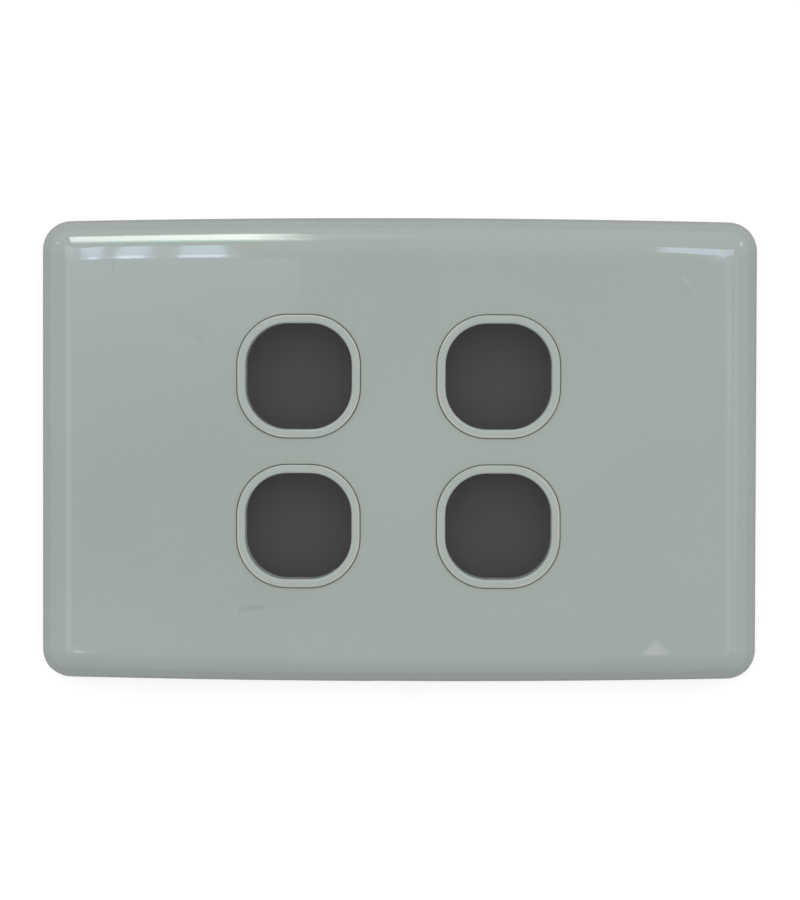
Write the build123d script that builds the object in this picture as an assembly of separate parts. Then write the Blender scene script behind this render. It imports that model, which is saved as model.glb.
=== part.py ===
from build123d import *
from math import atan2, cos, degrees, radians, sin, sqrt, tan
import os

# Lengths are in millimetres. X runs right, Y runs into the wall and Z runs up.
# The wall is the plane y = 0, and the origin is behind the middle of the plate.

# Cover: outline and edge
cover_width = 116.0
cover_height = 75.4  # at the middle of the long sides
side_bow = 0.7  # how far the middle of a long side stands out past its ends
cover_depth = 9.5  # from the wall to the flat front
corner_radius = 4.7
edge_roll = 4.9  # radius that rolls the front over into the sides
side_draft = 7.0  # lean of the sides, in degrees
rim_gap = 0.2  # from the rim to the wall
front_wall = 2.0
side_wall = 1.9

# Grid: web, skirt and ribs
grid_inset = 4.0  # from the cover's outline, at its ends, to the skirt
grid_corner = 3.0
grid_edge = 0.8
web_wall = 2.0
skirt_wall = 1.6
rib_wall = 1.2
rib_gap = 0.8  # from the back of a rib to the wall
cover_seat = 1.0  # from the web to the inside of the cover's front

# Grid: apertures for the switch mechanisms, and the collars round them
columns = 2
rows = 2
column_pitch = 32.0
row_pitch = 24.0
aperture_width = 17.0
aperture_corner = 6.7
collar_wall = 1.35
collar_proud = 0.3  # how far a collar stands out of the cover
collar_outer_edge = 0.2
collar_inner_edge = 0.3
collar_gap = 0.13  # between a collar and its hole in the cover
hole_edge = 0.2

# Grid: pocket behind each aperture
pocket_width = 21.2
guide_wall = 1.1
latch_wall = 1.1
latch_width = 9.0
latch_reach = 5.0  # how far a latch runs in past the wall's face
latch_nose = 0.8
latch_lead = 1.6
latch_window = 4.0

# Screws, and the wells that they sit in
screw_pitch = 84.0
thread_radius = 1.75
neck_radius = 1.5
screw_length = 35.0
head_radius = 3.5
head_height = 2.3
head_dome = 1.2
tip_chamfer = 0.5
recess_length = 4.2
recess_width = 0.9
recess_depth = 1.4
well_floor = 2.5
well_wall = 1.3
well_clearance = 0.6  # round the screw head
slot_clearance = 0.2  # round the thread
slot_travel = 3.1  # how far a screw can be shifted sideways

# Catches that hold the cover on the grid
catch_offset = 30.0  # of the catches on the long sides, from the middle
nose_length = 8.0
nose_reach = 0.9
nose_back = 2.7  # from the wall to the back of a nose
nose_ramp = 1.7
nose_land = 0.3
rib_reach_clearance = 0.3  # between a catch rib and the skirt
catch_clearance = 0.1  # between a nose and the rib behind it
catch_rib_length = 10.0
catch_rib_land = 0.5
catch_rib_depth = 1.7

# Pads inside the cover, and the notch for prising it off
pad_radius = 2.0
pad_inset_x = 10.0  # from the end of the cover
pad_inset_z = 10.5  # from the long side's end
notch_width = 8.0
notch_depth = 1.2

# Places that follow from those sizes
half_width = cover_width / 2
half_height = cover_height / 2
end_half_height = half_height - side_bow
bow_radius = (half_width**2 + side_bow**2) / (2 * side_bow)
bow_centre = half_height - bow_radius
front = -cover_depth
rim = -rim_gap
ceiling = front + front_wall
web_front = ceiling + cover_seat
web_back = web_front + web_wall
skirt_x = half_width - grid_inset
skirt_z = end_half_height - grid_inset
collar_width = aperture_width + 2 * collar_wall
collar_corner = aperture_corner + collar_wall
pocket_height = row_pitch - 2 * guide_wall
aperture_places = [
    ((column - (columns - 1) / 2) * column_pitch, (row - (rows - 1) / 2) * row_pitch)
    for column in range(columns)
    for row in range(rows)
]
ladder_x = (columns - 1) / 2 * column_pitch + pocket_width / 2 + latch_wall + latch_window
screw_places = [-screw_pitch / 2, screw_pitch / 2]
past = 1.0  # how far a cutting solid runs past what it cuts
cut_reach = 8.0  # how far outside the outline an edge's cut begins


def block(x, y, z):
    """A box between two values along each axis."""
    size = [abs(pair[1] - pair[0]) for pair in (x, y, z)]
    middle = [(pair[0] + pair[1]) / 2 for pair in (x, y, z)]
    return Pos(*middle) * Box(*size)


def slab(shape, back, ahead):
    """A flat shape drawn in X and Z, made solid from one depth forward to another."""
    return extrude(Plane.XZ.offset(-back) * shape, amount=back - ahead)


def prism(points, length, direction):
    """A straight bar whose end is the outline through these points."""
    outline = Polyline(points, close=True)
    return extrude(Face(Wire(outline.edges())), amount=length, dir=direction)


def rounded_square(width, corner):
    return RectangleRounded(width, width, corner)


def outline_z(x):
    """Height of the cover's top edge at x."""
    return bow_centre + sqrt(bow_radius**2 - x**2)


# The cover's form, used for its outside and for the hollow in it


def edge_section(place, inset, ahead, roll, back, reach):
    """What is cut away along an edge: all that lies outside the leaning side and the roll.

    place turns a distance in from the outline, and a depth, into a point. The section stops
    at the distance reach from the outline, or where the roll meets the flat front.
    """
    lean = radians(side_draft)
    roll_y = ahead + roll
    side_y = roll_y - roll * sin(lean)
    side_s = inset + (rim - side_y) * tan(lean)
    roll_s = side_s + roll * cos(lean)
    end_s = min(reach, roll_s)
    end_y = roll_y - sqrt(roll**2 - (roll_s - end_s) ** 2)
    start_turn = atan2(roll_y - side_y, roll_s - side_s)
    end_turn = atan2(roll_y - end_y, roll_s - end_s)
    turn = (start_turn + end_turn) / 2
    middle = (roll_s - roll * cos(turn), roll_y - roll * sin(turn))
    outside = inset - cut_reach
    back_s = inset - (back - rim) * tan(lean)
    wire = Wire(
        [
            Line(place(outside, back), place(back_s, back)),
            Line(place(back_s, back), place(side_s, side_y)),
            ThreePointArc(place(side_s, side_y), place(*middle), place(end_s, end_y)),
            Line(place(end_s, end_y), place(end_s, ahead - past)),
            Line(place(end_s, ahead - past), place(outside, ahead - past)),
            Line(place(outside, ahead - past), place(outside, back)),
        ]
    )
    return Face(wire)


def corner_centre():
    """Centre of the top right corner's arc, which touches the side and the bowed edge."""
    x = half_width - corner_radius
    return x, bow_centre + sqrt((bow_radius - corner_radius) ** 2 - x**2)


def rolled_form(inset, ahead, roll, back):
    """A solid with the cover's outline, leaning sides and rolled front edges."""
    form = block(
        (-half_width - past, half_width + past),
        (ahead, back),
        (-half_height - past, half_height + past),
    )
    end_section = edge_section(
        lambda s, y: (half_width - s, y, -half_height - 2 * past), inset, ahead, roll, back, half_width
    )
    end_cut = extrude(end_section, amount=cover_height + 4 * past, dir=(0, 0, 1))
    bow_axis = Axis((0, 0, bow_centre), (0, 1, 0))
    bow_turn = degrees(atan2(half_width + 2 * past, bow_radius))
    long_section = edge_section(
        lambda s, y: (0, y, half_height - s), inset, ahead, roll, back, half_width
    ).rotate(bow_axis, -bow_turn)
    long_cut = revolve(long_section, bow_axis, 2 * bow_turn)
    x, z = corner_centre()
    corner_axis = Axis((x, 0, z), (0, -1, 0))
    corner_turn = degrees(atan2(z - bow_centre, x))
    corner_section = edge_section(
        lambda s, y: (x + corner_radius - s, y, z), inset, ahead, roll, back, corner_radius
    )
    corner_cut = revolve(corner_section, corner_axis, corner_turn)
    for cut in (end_cut, mirror(end_cut, Plane.YZ), long_cut, mirror(long_cut, Plane.XY)):
        form -= cut
    for cut in (corner_cut, mirror(corner_cut, Plane.YZ)):
        form -= cut
        form -= mirror(cut, Plane.XY)
    return form


# Catches: a section given by its distance out from the skirt and its depth


def catch_bars(points, length, face_x, face_z):
    """Six bars of one section, two along each long side and one along each end."""
    bars = []
    for side in (-1, 1):
        section = [(side * (face_x + out), y, -length / 2) for out, y in points]
        bars.append(prism(section, length, (0, 0, 1)))
        for x in (-catch_offset, catch_offset):
            section = [(x - length / 2, y, side * (face_z + out)) for out, y in points]
            bars.append(prism(section, length, (1, 0, 0)))
    return bars


def grid_noses():
    back = -nose_back
    points = [
        (-skirt_wall / 2, back),
        (nose_reach, back),
        (nose_reach, back - nose_land),
        (0, back - nose_ramp),
        (-skirt_wall / 2, back - nose_ramp),
    ]
    return catch_bars(points, nose_length, skirt_x, skirt_z)


def cover_catch_ribs():
    ahead = -nose_back + catch_clearance
    root = grid_inset - side_wall / 2
    points = [
        (root, ahead),
        (rib_reach_clearance, ahead),
        (rib_reach_clearance, ahead + catch_rib_land),
        (root, ahead + catch_rib_depth),
    ]
    return catch_bars(points, catch_rib_length, skirt_x, skirt_z)


# Front cover


def cover_pads():
    """Round pads that keep the cover's front one seat's height off the web."""
    span_x = half_width - pad_inset_x
    z = end_half_height - pad_inset_z
    inner = column_pitch / 2
    pads = []
    for x in (-span_x, -inner, inner, span_x):
        for side in (-1, 1):
            pads.append(Pos(x, 0, side * z) * slab(Circle(pad_radius), web_front, ceiling - past))
    return pads


def front_cover():
    outside = rolled_form(0, front, edge_roll, rim)
    hollow = rolled_form(side_wall, ceiling, edge_roll - side_wall, rim + past)
    cover = outside - hollow
    hole = rounded_square(collar_width + 2 * collar_gap, collar_corner + collar_gap)
    for x, z in aperture_places:
        cover -= Pos(x, 0, z) * slab(hole, ceiling + past, front - past)
    front_face = cover.faces().sort_by(Axis.Y)[0]
    hole_edges = [edge for wire in front_face.inner_wires() for edge in wire.edges()]
    cover = fillet(hole_edges, hole_edge)
    for piece in cover_pads() + cover_catch_ribs():
        cover += piece
    cover -= block(
        (-notch_width / 2, notch_width / 2),
        (rim - notch_depth, rim + past),
        (-half_height - past, -half_height + side_wall + 2 * past),
    )
    return cover


# Mounting grid


def grid_tray():
    """The web with its skirt: a shallow box, open towards the wall."""
    outer = RectangleRounded(2 * skirt_x, 2 * skirt_z, grid_corner)
    inner = RectangleRounded(
        2 * (skirt_x - skirt_wall), 2 * (skirt_z - skirt_wall), grid_corner - skirt_wall
    )
    tray = slab(outer, 0, web_front)
    tray = fillet(tray.faces().sort_by(Axis.Y)[0].edges(), grid_edge)
    return tray - slab(inner, past, web_back)


def grid_ribs():
    """The ladder of guide rails behind the web, and the ribs that brace it to the skirt."""
    depth = (web_back - past, -rib_gap)
    inside_x = skirt_x - skirt_wall / 2
    inside_z = skirt_z - skirt_wall / 2
    half = rib_wall / 2
    ribs = []
    for row in range(rows + 1):
        z = (row - rows / 2) * row_pitch
        low = z if row == 0 else z - guide_wall
        high = z if row == rows else z + guide_wall
        ribs.append(block((-ladder_x, ladder_x), depth, (low, high)))
    for x in (-screw_pitch / 2, -ladder_x, 0, ladder_x, screw_pitch / 2):
        ribs.append(block((x - half, x + half), depth, (-inside_z, inside_z)))
    rail_z = rows / 2 * row_pitch - guide_wall / 2
    for side in (-1, 1):
        for z in (-row_pitch / 2, 0, row_pitch / 2):
            ribs.append(block((side * ladder_x, side * inside_x), depth, (z - half, z + half)))
        for x in sorted({x for x, z in aperture_places}):
            ribs.append(block((x - half, x + half), depth, (side * rail_z, side * inside_z)))
    return ribs


def screw_well(x):
    """The well's outer wall, and what is cut out of it: the head's room and the slot."""
    room = 2 * (head_radius + well_clearance)
    slot = 2 * (thread_radius + slot_clearance)
    outer = room + 2 * well_wall
    wall = slab(SlotOverall(outer + slot_travel, outer), 0, web_front)
    head_room = slab(SlotOverall(room + slot_travel, room), -well_floor, web_front - past)
    slot_cut = slab(SlotOverall(slot + slot_travel, slot), past, web_front)
    place = Pos(x, 0, 0)
    return place * wall, place * (head_room + slot_cut)


def latch(side):
    """A springy arm beside a pocket, with a barbed end that snaps behind a mechanism."""
    face = pocket_width / 2
    tip = latch_reach
    points = [
        (face, web_back - past),
        (face, tip - latch_lead - latch_nose),
        (face - latch_nose, tip - latch_lead),
        (face, tip),
        (face + latch_wall, tip),
        (face + latch_wall, web_back - past),
    ]
    return prism([(side * x, y, -latch_width / 2) for x, y in points], latch_width, (0, 0, 1))


def collar():
    """The rim that stands out of the web round an aperture and shows in the cover's hole."""
    top = front - collar_proud
    ring = slab(rounded_square(collar_width, collar_corner), web_front + past, top)
    ring -= slab(rounded_square(aperture_width, aperture_corner), web_front + 2 * past, top - past)
    face = ring.faces().sort_by(Axis.Y)[0]
    ring = fillet(face.outer_wire().edges(), collar_outer_edge)
    face = ring.faces().sort_by(Axis.Y)[0]
    return fillet(face.inner_wires()[0].edges(), collar_inner_edge)


def mounting_grid():
    grid = grid_tray()
    for rib in grid_ribs():
        grid += rib
    for nose in grid_noses():
        grid += nose
    bore = slab(rounded_square(aperture_width, aperture_corner), web_back + past, web_front - past)
    pocket = slab(Rectangle(pocket_width, pocket_height), past, web_back)
    rim_ring = collar()
    for x, z in aperture_places:
        place = Pos(x, 0, z)
        grid -= place * pocket
        grid -= place * bore
        grid += place * rim_ring
        for side in (-1, 1):
            grid += place * latch(side)
    for x in screw_places:
        wall, cut = screw_well(x)
        grid = grid + wall - cut
    return grid


# Fixing screws


def fixing_screw():
    """A pan-head screw with a cross recess. Its thread is shown by its outer radius."""
    seat = -well_floor
    head = Pos(0, seat, 0) * slab(Circle(head_radius), 0, -head_height)
    head = fillet(head.faces().sort_by(Axis.Y)[0].edges(), head_dome)
    neck = slab(Circle(neck_radius), past, seat - past)
    thread = slab(Circle(thread_radius), seat + screw_length, 0)
    thread = chamfer(thread.faces().sort_by(Axis.Y)[-1].edges(), tip_chamfer)
    recess_y = (seat - head_height - past, seat - head_height + recess_depth)
    arm = block(
        (-recess_length / 2, recess_length / 2), recess_y, (-recess_width / 2, recess_width / 2)
    )
    cross = arm + arm.rotate(Axis.Y, 90)
    return (head + neck + thread) - cross


def fixing_screws():
    screw = fixing_screw()
    return Compound(children=[Pos(x, 0, 0) * screw for x in screw_places])


os.makedirs("parts", exist_ok=True)
export_step(front_cover(), "parts/front_cover.step")
export_step(mounting_grid(), "parts/mounting_grid.step")
export_step(fixing_screws(), "parts/fixing_screws.step")
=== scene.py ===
from math import atan, atan2, cos, pi, radians, sin, sqrt, tan

import bmesh
import bpy
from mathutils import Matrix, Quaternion, Vector


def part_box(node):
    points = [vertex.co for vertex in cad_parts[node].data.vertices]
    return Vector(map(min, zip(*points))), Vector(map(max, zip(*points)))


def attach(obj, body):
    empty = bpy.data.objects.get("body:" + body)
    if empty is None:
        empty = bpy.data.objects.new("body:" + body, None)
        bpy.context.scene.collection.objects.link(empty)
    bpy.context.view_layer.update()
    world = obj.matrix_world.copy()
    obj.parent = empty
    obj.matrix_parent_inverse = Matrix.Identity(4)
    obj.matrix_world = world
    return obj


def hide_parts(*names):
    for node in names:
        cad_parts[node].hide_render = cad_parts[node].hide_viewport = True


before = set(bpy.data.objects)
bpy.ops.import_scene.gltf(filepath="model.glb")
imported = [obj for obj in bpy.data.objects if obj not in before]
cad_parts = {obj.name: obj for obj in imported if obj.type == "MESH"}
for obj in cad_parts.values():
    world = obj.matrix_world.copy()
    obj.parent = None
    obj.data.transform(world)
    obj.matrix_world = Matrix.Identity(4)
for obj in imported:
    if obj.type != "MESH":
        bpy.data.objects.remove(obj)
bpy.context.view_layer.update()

scene = bpy.context.scene
mm = 0.001

# Lengths in the dictionaries are millimetres, angles are degrees and colours are linear.
# X runs right, Y into the wall and Z up, with the wall at y = 0.


# Shared helpers

def addNode(tree, kind, inputs=None, **settings):
    node = tree.nodes.new(kind)
    for name, value in settings.items():
        setattr(node, name, value)
    for key, value in (inputs or {}).items():
        if isinstance(value, bpy.types.NodeSocket):
            tree.links.new(value, node.inputs[key])
        else:
            node.inputs[key].default_value = value
    return node


def maths(tree, operation, first, second=0.0, third=0.0, clamp=False):
    node = addNode(tree, "ShaderNodeMath", {0: first, 1: second, 2: third}, operation=operation)
    node.use_clamp = clamp
    return node.outputs[0]


def mixColours(tree, factor, first, second, blend="MIX"):
    node = addNode(tree, "ShaderNodeMix", data_type="RGBA", blend_type=blend)
    for index, value in ((0, factor), (6, first), (7, second)):
        if isinstance(value, bpy.types.NodeSocket):
            tree.links.new(value, node.inputs[index])
        else:
            node.inputs[index].default_value = value
    return node.outputs[2]


def meshObject(name, mesh):
    piece = bpy.data.objects.new(name, mesh)
    scene.collection.objects.link(piece)
    return piece


def newMaterial(name):
    material = bpy.data.materials.new(name)
    material.use_nodes = True
    tree = material.node_tree
    return material, tree, tree.nodes["Principled BSDF"]


# Camera, set where the photographed plate fills the frame as it does there

viewpoint = {
    "distance": 560.0,  # from the wall to the lens
    "azimuth": 0.6,
    "elevation": 1.5,
    "roll": 0.14,
    "pixelsPerMm": 6.144,  # at the wall
    "imageWidth": 800,
    "imageHeight": 900,
    "plateCentreX": 399.1,  # pixels from the left edge of the image
    "plateCentreY": 449.95,  # pixels from its top edge
    "sensor": 36.0,
}


def aimCamera():
    azimuth = radians(viewpoint["azimuth"])
    elevation = radians(viewpoint["elevation"])
    back = Vector((sin(azimuth) * cos(elevation), -cos(azimuth) * cos(elevation), sin(elevation)))
    camera = bpy.data.objects.new("photoCamera", bpy.data.cameras.new("photoCamera"))
    camera.data.sensor_width = viewpoint["sensor"]
    visible = viewpoint["imageHeight"] / viewpoint["pixelsPerMm"]
    camera.data.lens = viewpoint["sensor"] * viewpoint["distance"] / visible
    target = Vector((
        (viewpoint["imageWidth"] / 2 - viewpoint["plateCentreX"]) / viewpoint["pixelsPerMm"],
        0,
        (viewpoint["plateCentreY"] - viewpoint["imageHeight"] / 2) / viewpoint["pixelsPerMm"],
    ))
    level = (-back).to_track_quat("-Z", "Y")
    camera.rotation_euler = (level @ Quaternion((0, 0, 1), radians(viewpoint["roll"]))).to_euler()
    camera.location = (target + back * viewpoint["distance"]) * mm
    camera.data.clip_start = 0.01
    scene.collection.objects.link(camera)
    scene.camera = camera


aimCamera()
print("camera is placed")


# Studio: a wall with a patch of painted shade, a floor, a soft surrounding light, lamps and bright cards

studio = {
    "wallGap": 0.15,  # from the back of the plate to the wall's face
    "wallSize": 1600.0,
    "paintedShadeWidth": 72.0,  # painted shade: a dark patch of the wall that shows through the plate's holes as their shaded inside
    "paintedShadeHeight": 60.0,
    "floorDrop": 420.0,  # from the middle of the plate down to the floor
    "floorSize": 3000.0,
    "wallColour": (0.42, 0.42, 0.42, 1),
    # painted shade: the colour of the dark patch seen through the holes
    "paintedShadeColour": (0.115, 0.112, 0.108, 1),
    "whiteLift": 0.66,  # glow that brings the lit wall and floor up to white in the picture
    "floorSheen": 0.55,  # how much of that glow the gloss mirrors from the floor
    "skyLevel": 1.22,
    "horizonLevel": 1.05,
    "groundLevel": 0.89,
    "behindShare": 0.7,  # of that light, how much comes from behind the plate
}

# A lamp is a soft rectangle seen from the plate: degrees left of straight ahead, degrees up,
# how far away it is, and how bright it looks.
lamps = {
    "rightSoftbox": {"left": (-75.0, -45.0), "up": (10.0, 45.0), "far": 1700, "glow": 0.9,
                     "colour": (1.0, 0.99, 0.96)},
    "leftSoftbox": {"left": (45.0, 75.0), "up": (10.0, 45.0), "far": 1700, "glow": 0.6,
                    "colour": (1.0, 1.0, 1.0)},
}

# A card only adds to what the gloss mirrors. Its corners are right low, left low, left high and right
# high, each as degrees left, degrees up and a share of its glow. A card that leans spreads to the
# sides with height, as a tall window does.
windowColour, windowTone = (0.78, 0.92, 1.2), (0.74, 0.95, 1.28)
battenColour, tintColour, hazeColour = (0.96, 1.0, 0.965), (0.5, 1.0, 0.77), (0.6, 0.92, 1.28)
cards = {
    "batten": {"glow": 13.0, "colour": battenColour, "corners": [
        (5.2, 50.0, 1.0), (14.5, 50.0, 0.5), (21.5, 62.5, 0.6), (8.4, 65.5, 1.0)]},
    "battenTop": {"glow": 13.0, "colour": battenColour, "corners": [
        (8.4, 65.5, 1.0), (21.5, 62.5, 0.6), (24.5, 66.5, 0.0), (10.2, 70.0, 0.0)]},
    "battenEnd": {"glow": 13.0, "colour": battenColour, "corners": [
        (3.75, 50.0, 0.25), (5.2, 50.0, 1.0), (8.4, 65.5, 1.0), (6.1, 65.5, 0.25)]},
    "battenEndTop": {"glow": 13.0, "colour": battenColour, "corners": [
        (6.1, 65.5, 0.25), (8.4, 65.5, 1.0), (10.2, 70.0, 0.0), (7.4, 70.0, 0.0)]},
    "battenTail": {"glow": 13.0, "colour": battenColour, "corners": [
        (3.2, 50.0, 0.07), (3.75, 50.0, 0.25), (6.1, 65.5, 0.25), (5.2, 65.5, 0.07)]},
    "battenTailEnd": {"glow": 13.0, "colour": battenColour, "corners": [
        (-1.0, 50.0, 0.015), (3.2, 50.0, 0.07), (5.2, 65.5, 0.07), (-1.5, 65.5, 0.015)]},
    "battenTint": {"glow": 9.5, "colour": tintColour, "corners": [
        (4.8, 44.0, 0.1), (11.5, 44.0, 0.1), (14.5, 50.0, 0.45), (5.2, 50.0, 1.0)]},
    "battenTintEnd": {"glow": 9.5, "colour": tintColour, "corners": [
        (3.0, 44.0, 0.05), (4.8, 44.0, 0.1), (5.2, 50.0, 1.0), (3.6, 50.0, 0.35)]},
    "windowOne": {"lean": True, "glow": 4.4, "colour": windowColour, "corners": [
        (5.63, 4.3, 1.0), (5.92, 4.3, 0.95), (5.88, 31.0, 0.9), (5.53, 35.0, 0.85)]},
    "windowTwo": {"lean": True, "glow": 4.1, "colour": windowColour, "corners": [
        (4.82, 5.0, 1.0), (5.40, 5.0, 1.0), (5.22, 33.0, 1.0), (4.74, 35.0, 0.8)]},
    "windowThree": {"lean": True, "glow": 3.7, "colour": windowColour, "corners": [
        (3.44, 4.5, 0.9), (4.33, 4.5, 1.0), (4.22, 34.0, 0.9), (3.56, 35.0, 0.95)]},
    "sillOne": {"glow": 6.0, "colour": windowColour, "corners": [
        (5.68, 4.2, 0.7), (5.84, 4.2, 1.0), (5.98, 8.8, 1.0), (5.83, 8.8, 0.6)]},
    "sillTwo": {"glow": 2.6, "colour": windowColour, "corners": [
        (4.74, 4.8, 0.6), (5.50, 5.0, 1.0), (5.68, 11.5, 1.0), (4.90, 11.0, 0.6)]},
    "sillTwoMiddle": {"glow": 3.0, "colour": (0.9, 1.0, 1.1), "corners": [
        (4.90, 4.6, 0.8), (5.33, 4.6, 1.0), (5.50, 11.0, 1.0), (5.08, 10.5, 0.8)]},
    "sillThree": {"glow": 4.2, "colour": (0.9, 1.0, 1.1), "corners": [
        (3.53, 5.2, 0.9), (4.41, 5.2, 0.9), (4.54, 10.7, 0.9), (3.65, 10.7, 1.0)]},
    "windowGlow": {"lean": True, "glow": 1.2, "colour": hazeColour, "corners": [
        (3.30, 3.0, 0.8), (8.5, 3.0, 0.8), (8.5, 33.0, 1.4), (3.30, 34.0, 0.8)]},
    "windowHaze": {"glow": 1.15, "colour": hazeColour, "corners": [
        (2.3, -0.2, 0.0), (6.5, -0.4, 0.0), (6.5, 3.0, 1.4), (2.3, 3.0, 0.9)]},
    "rightWindowEnd": {"glow": 4.3, "colour": windowTone, "corners": [
        (-4.50, 21.0, 1.0), (-4.20, 21.5, 0.1), (-4.98, 35.0, 0.1), (-5.38, 35.0, 1.0)]},
    "rightWindow": {"glow": 4.3, "colour": windowTone, "corners": [
        (-5.7, 13.5, 0.9), (-4.50, 21.0, 1.0), (-5.38, 35.0, 1.0), (-6.9, 31.0, 0.95)]},
    "rightWindowSide": {"glow": 4.3, "colour": windowTone, "corners": [
        (-28.0, 18.0, 0.6), (-5.7, 13.5, 0.9), (-6.9, 31.0, 0.95), (-30.0, 30.0, 0.6)]},
    "rightSill": {"glow": 1.5, "colour": windowTone, "corners": [
        (-7.4, 11.5, 0.5), (-4.95, 10.5, 1.0), (-5.20, 16.0, 1.0), (-7.6, 16.0, 0.5)]},
    "rightHaze": {"glow": 1.0, "colour": hazeColour, "corners": [
        (-9.0, 2.0, 1.1), (-4.78, 2.0, 1.0), (-5.20, 14.0, 1.7), (-9.0, 14.0, 1.7)]},
    "rightHazeSide": {"glow": 1.0, "colour": hazeColour, "corners": [
        (-4.78, 2.0, 1.0), (-4.48, 2.0, 0.0), (-4.82, 15.0, 0.3), (-5.20, 14.0, 1.7)]},
    "rightHazeFoot": {"glow": 1.0, "colour": hazeColour, "corners": [
        (-9.0, -0.5, 0.5), (-4.50, -0.5, 0.0), (-4.50, 2.0, 0.3), (-9.0, 2.0, 1.1)]},
    "leftPane": {"glow": 1.2, "colour": (0.85, 0.97, 1.22), "corners": [
        (8.0, -12.0, 0.6), (26.0, -12.0, 0.65), (26.0, 12.0, 1.0), (8.0, 12.0, 1.2)]},
    "leftPaneTop": {"glow": 1.2, "colour": (0.85, 0.97, 1.22), "corners": [
        (8.0, 12.0, 1.2), (26.0, 12.0, 1.0), (30.0, 34.0, 1.9), (9.5, 34.0, 1.9)]},
    "rightPane": {"glow": 0.7, "colour": (0.96, 1.0, 0.97), "corners": [
        (-24.0, -12.0, 0.8), (-8.5, -12.0, 1.0), (-8.5, 12.0, 1.1), (-24.0, 12.0, 1.0)]},
    "rightPaneFoot": {"glow": 0.4, "colour": (0.9, 1.0, 1.03), "corners": [
        (-26.0, -5.2, 0.8), (-12.0, -5.2, 1.0), (-12.0, -2.4, 0.0), (-26.0, -2.4, 0.0)]},
    "rightStrip": {"glow": 0.65, "colour": (1.0, 1.0, 0.97), "corners": [
        (-45.0, -12.0, 1.0), (-31.0, -12.0, 0.9), (-31.0, 12.0, 0.9), (-45.0, 12.0, 1.0)]},
    "lampRight": {"glow": 5.8, "colour": (1.0, 1.0, 0.98), "corners": [
        (-67.0, 31.0, 0.5), (-58.0, 33.0, 1.0), (-58.0, 42.0, 1.0), (-67.0, 40.0, 0.7)]},
    "lampLeft": {"glow": 4.0, "colour": (1.0, 1.0, 0.98), "corners": [
        (56.0, 34.5, 0.6), (68.0, 35.5, 1.0), (68.0, 38.5, 1.0), (56.0, 37.5, 0.6)]},
    "lowGlimmer": {"glow": 3.6, "colour": (0.9, 1.03, 1.02), "corners": [
        (5.88, -9.5, 0.6), (6.6, -9.5, 0.6), (6.6, -4.865, 0.9), (5.88, -4.865, 1.0)]},
    "lowCorner": {"glow": 2.3, "colour": (1.05, 0.98, 0.97), "corners": [
        (-3.92, -4.92, 0.5), (-3.51, -4.92, 0.9), (-3.645, -4.65, 1.0), (-3.69, -4.65, 0.8)]},
    "lowCornerFoot": {"glow": 2.3, "colour": (1.05, 0.98, 0.97), "corners": [
        (-4.00, -7.2, 0.2), (-3.54, -7.2, 0.6), (-3.51, -4.92, 0.9), (-3.92, -4.92, 0.5)]},
}
cardDistance = 200000.0  # so far away that it shows in the same direction from all over the plate
cardSteps = 8  # faces along each side of a card
leanRate, leanPower = 0.0007, 1.75


def towardsDirection(left, up):
    left, up = radians(left), radians(up)
    return Vector((-sin(left) * cos(up), -cos(left) * cos(up), sin(up)))


def paintedShadePatch(tree):
    # One inside the patch of painted shade on the wall behind the holes, zero outside.
    place = addNode(tree, "ShaderNodeTexCoord").outputs["Object"]
    axes = addNode(tree, "ShaderNodeSeparateXYZ", {0: place}).outputs
    beside = maths(tree, "LESS_THAN", maths(tree, "ABSOLUTE", axes["X"]), studio["paintedShadeWidth"] / 2 * mm)
    within = maths(tree, "LESS_THAN", maths(tree, "ABSOLUTE", axes["Z"]), studio["paintedShadeHeight"] / 2 * mm)
    return maths(tree, "MULTIPLY", beside, within)


def backgroundMaterial(name, withPaintedShade, sheen):
    # From behind it is clear, and it takes no part in lighting the plate. With painted shade, a dark patch
    # without the white glow stands for the shaded inside of the holes.
    material = bpy.data.materials.new(name)
    material.use_nodes = True
    tree = material.node_tree
    tree.nodes.clear()
    path = addNode(tree, "ShaderNodeLightPath").outputs
    pictured = maths(tree, "MAXIMUM", path["Is Camera Ray"], path["Is Transmission Ray"])
    seen = maths(tree, "MAXIMUM", pictured, path["Is Glossy Ray"])
    behind = addNode(tree, "ShaderNodeNewGeometry").outputs["Backfacing"]
    solid = maths(tree, "MULTIPLY", seen, maths(tree, "SUBTRACT", 1.0, behind))
    # painted shade: the patch behind the holes gets the dark colour and loses the white glow
    paintedShadeMask = paintedShadePatch(tree) if withPaintedShade else 0.0
    colour = mixColours(tree, paintedShadeMask, studio["wallColour"], studio["paintedShadeColour"])
    lifted = maths(tree, "MAXIMUM", pictured, maths(tree, "MULTIPLY", path["Is Glossy Ray"], sheen))
    strength = maths(tree, "MULTIPLY", lifted, studio["whiteLift"])
    strength = maths(tree, "MULTIPLY", strength, maths(tree, "SUBTRACT", 1.0, paintedShadeMask))
    diffuse = addNode(tree, "ShaderNodeBsdfDiffuse", {"Color": colour}).outputs[0]
    glow = addNode(tree, "ShaderNodeEmission", {"Color": (1, 1, 1, 1), "Strength": strength}).outputs[0]
    lit = addNode(tree, "ShaderNodeAddShader", {0: diffuse, 1: glow}).outputs[0]
    clear = addNode(tree, "ShaderNodeBsdfTransparent").outputs[0]
    shown = addNode(tree, "ShaderNodeMixShader", {0: solid, 1: clear, 2: lit}).outputs[0]
    addNode(tree, "ShaderNodeOutputMaterial", {"Surface": shown})
    return material


def backgroundPlane(name, corners, material):
    mesh = bpy.data.meshes.new(name)
    mesh.from_pydata([Vector(corner) * mm for corner in corners], [], [(0, 1, 2, 3)])
    mesh.materials.append(material)
    meshObject(name, mesh)


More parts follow.
